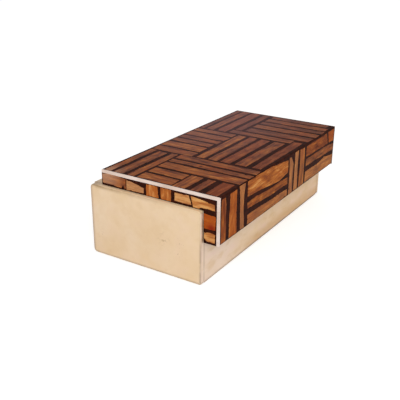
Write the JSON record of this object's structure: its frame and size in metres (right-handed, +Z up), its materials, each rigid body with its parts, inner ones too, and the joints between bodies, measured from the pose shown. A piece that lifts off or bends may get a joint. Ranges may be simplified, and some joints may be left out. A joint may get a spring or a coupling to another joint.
{
  "type": "hinged keepsake box",
  "caption": "Parchment-covered rectangular box with a hinged L-shaped lid in palm-wood marquetry, whose lip hangs over the front; suede-lined inside.",
  "frame": {"origin": "centre of the base's underside, on the surface that the box stands on", "axes": "+Z up; +X along the box from its left end to its right end; the front, where the lid's lip hangs, faces -Y"},
  "size_m": [0.214, 0.1132, 0.0699],
  "materials": {
    "parchment": "natural goatskin parchment, satin, faintly mottled",
    "board_wood": "bare hardwood board",
    "suede": "dark brown suede",
    "felt": "dark felt",
    "palm_marquetry": "palm-wood strips in black resin under gloss lacquer",
    "bone": "polished bone stringing",
    "black_lacquer": "black lacquer on wood",
    "brass": "brushed, lightly aged"
  },
  "bodies": {
    "base": {"base_felt": "felt", "floor_board": "board_wood", "front_wall": "board_wood", "back_wall": "board_wood", "left_end_wall": "board_wood", "right_end_wall": "board_wood", "front_parchment": "parchment", "back_parchment": "parchment", "left_end_parchment": "parchment", "right_end_parchment": "parchment", "left_rim_parchment": "parchment", "right_rim_parchment": "parchment", "front_lining": "suede", "back_lining": "suede", "left_lining": "suede", "right_lining": "suede", "floor_lining": "suede", "left_hinge_base_leaf": "brass", "right_hinge_base_leaf": "brass", "left_hinge_pin": "brass", "right_hinge_pin": "brass", "left_hinge_base_screw_1": "brass", "left_hinge_base_screw_2": "brass", "right_hinge_base_screw_1": "brass", "right_hinge_base_screw_2": "brass"},
    "lid": {"lid_board": "black_lacquer", "lip_board": "black_lacquer", "lid_lining": "suede", "top_marquetry": "palm_marquetry", "lip_marquetry": "palm_marquetry", "back_edge_marquetry": "palm_marquetry", "left_slab_marquetry": "palm_marquetry", "left_lip_marquetry": "palm_marquetry", "right_slab_marquetry": "palm_marquetry", "right_lip_marquetry": "palm_marquetry", "left_top_string": "bone", "left_front_string": "bone", "right_top_string": "bone", "right_front_string": "bone", "left_hinge_lid_leaf": "brass", "right_hinge_lid_leaf": "brass", "left_hinge_lid_screw_1": "brass", "left_hinge_lid_screw_2": "brass", "right_hinge_lid_screw_1": "brass", "right_hinge_lid_screw_2": "brass"}
  },
  "joints": [
    {"name": "lid_hinge", "type": "hinge", "parent": "base", "child": "lid", "pos_m": [0, 0.0422, 0.0594], "axis": [-1, 0, 0], "range_deg": [0, 100]}
  ]
}
